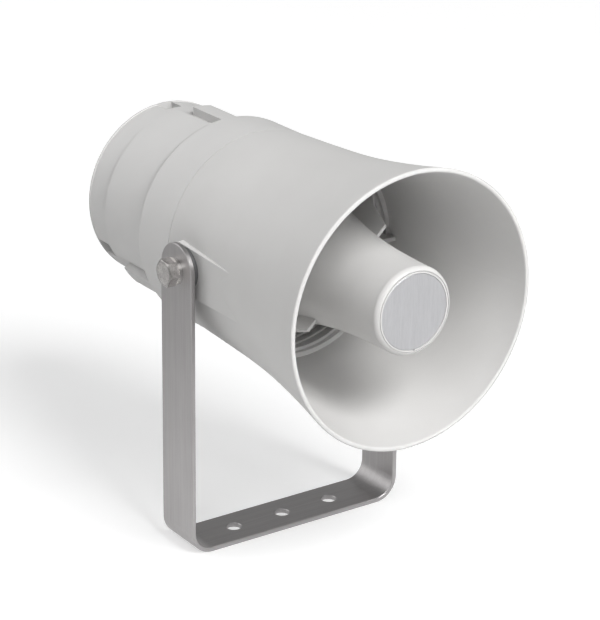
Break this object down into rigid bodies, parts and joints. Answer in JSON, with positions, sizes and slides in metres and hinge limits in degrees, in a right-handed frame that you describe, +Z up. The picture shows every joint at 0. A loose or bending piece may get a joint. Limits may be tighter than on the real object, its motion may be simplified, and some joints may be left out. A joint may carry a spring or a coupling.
{
  "type": "horn loudspeaker",
  "caption": "Folded horn loudspeaker with a flared round bell, an inner reflector cone and a stepped tail, tilting on side bolts in a flat strap U bracket.",
  "frame": {"origin": "middle fixing hole, on the underside of the bracket's base", "axes": "+Z up from the base towards the tilt axis, +X along the base and the tilt axis, -Y the way the bell's mouth faces"},
  "size_m": [0.1694, 0.2844, 0.2605],
  "materials": {
    "stainless_steel": "brushed stainless steel strap",
    "stainless_bolts": "bright stainless steel fasteners",
    "grey_plastic": "pale grey moulded plastic, satin",
    "grey_plastic_inner": "pale grey moulded plastic, satin",
    "grey_plastic_rear": "pale grey moulded plastic, satin",
    "badge_metal": "brushed aluminium disc",
    "grey_nylon": "grey nylon",
    "dark_plastic": "dark moulded plastic",
    "cream_plastic": "cream moulded plastic",
    "lead_insulation": "red wire insulation",
    "brass": "turned brass",
    "black_rubber": "black rubber",
    "cast_aluminium": "cast aluminium",
    "plated_steel": "zinc plated steel",
    "ferrite": "ferrite ring magnet",
    "phenolic_dome": "pressed phenolic cloth",
    "copper_coil": "enamelled copper wire",
    "laminated_core": "varnished steel laminations",
    "winding_tape": "yellow winding tape"
  },
  "bodies": {
    "bracket": {"u_bracket": "stainless_steel"},
    "horn": {"pivot_bolts": "stainless_bolts", "spring_washers": "stainless_bolts", "pivot_spacers": "grey_nylon", "threaded_inserts": "brass", "horn_bell": "grey_plastic", "reflector_cone": "grey_plastic_inner", "nose_badge": "badge_metal", "rear_housing": "grey_plastic_rear", "housing_seal": "black_rubber", "throat_tube": "dark_plastic", "throat_gasket": "black_rubber", "driver_cap": "cast_aluminium", "phase_plug": "dark_plastic", "driver_top_plate": "plated_steel", "driver_magnet": "ferrite", "driver_back_plate": "plated_steel", "driver_screws": "plated_steel", "cover_seal": "black_rubber", "rear_cover": "grey_plastic_rear", "cover_screws": "stainless_bolts", "gland_body": "grey_nylon", "gland_seal": "black_rubber", "gland_nut": "grey_nylon", "gland_locknut": "grey_nylon", "blanking_plug": "grey_nylon", "plug_seal": "black_rubber", "transformer_core": "laminated_core", "transformer_winding": "winding_tape", "transformer_strap": "plated_steel", "transformer_screws": "plated_steel", "terminal_block": "cream_plastic", "terminal_screws": "brass", "internal_leads": "lead_insulation"},
    "diaphragm_unit": {"diaphragm": "phenolic_dome", "voice_coil": "copper_coil"}
  },
  "joints": [
    {"name": "tilt", "type": "hinge", "parent": "bracket", "child": "horn", "pos_m": [0, 0, 0.178], "axis": [-1, 0, 0], "range_deg": [-60, 90]},
    {"name": "diaphragm_travel", "type": "slide", "parent": "horn", "child": "diaphragm_unit", "axis": [0, 1, 0], "range_m": [-0.0003, 0.0003], "stiffness_N_per_m": 8000}
  ]
}
